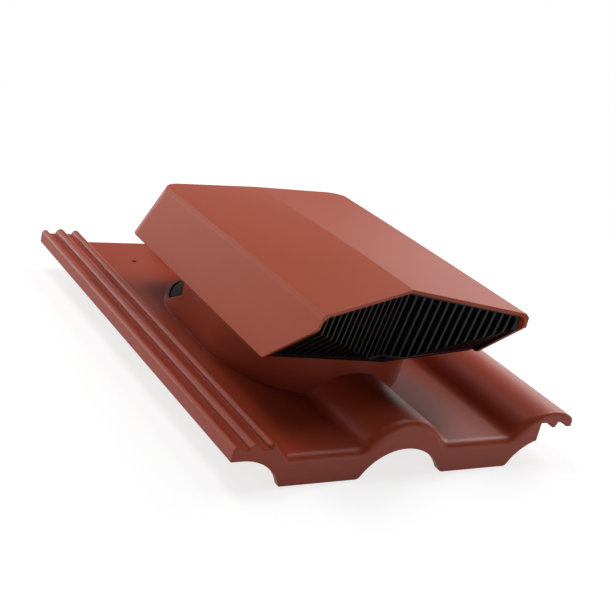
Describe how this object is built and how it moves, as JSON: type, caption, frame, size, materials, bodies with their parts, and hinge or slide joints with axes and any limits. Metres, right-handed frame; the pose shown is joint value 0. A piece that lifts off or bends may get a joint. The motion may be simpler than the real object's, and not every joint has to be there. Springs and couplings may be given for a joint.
{
  "type": "roof tile vent",
  "caption": "Double-roll roof tile vent: a ribbed interlocking tile with an oval neck under a low ridged hood, and upright slats across the raked air outlet.",
  "frame": {"origin": "under the middle of the tile, level with the bottom of its front nose and hanging nibs", "axes": "+X across the roof towards the covering lock, +Y up the slope towards the head of the tile, +Z away from the roof"},
  "size_m": [0.33, 0.42, 0.1411],
  "materials": {
    "tile_red": "fine satin grain",
    "hood_red": "fine satin grain",
    "grille_black": "satin",
    "duct_black": "satin",
    "screw_steel": "plated"
  },
  "bodies": {
    "root": {"base_tile": "tile_red", "hood": "hood_red", "grille": "grille_black", "inner_duct": "duct_black", "hood_screws": "screw_steel"}
  },
  "joints": []
}
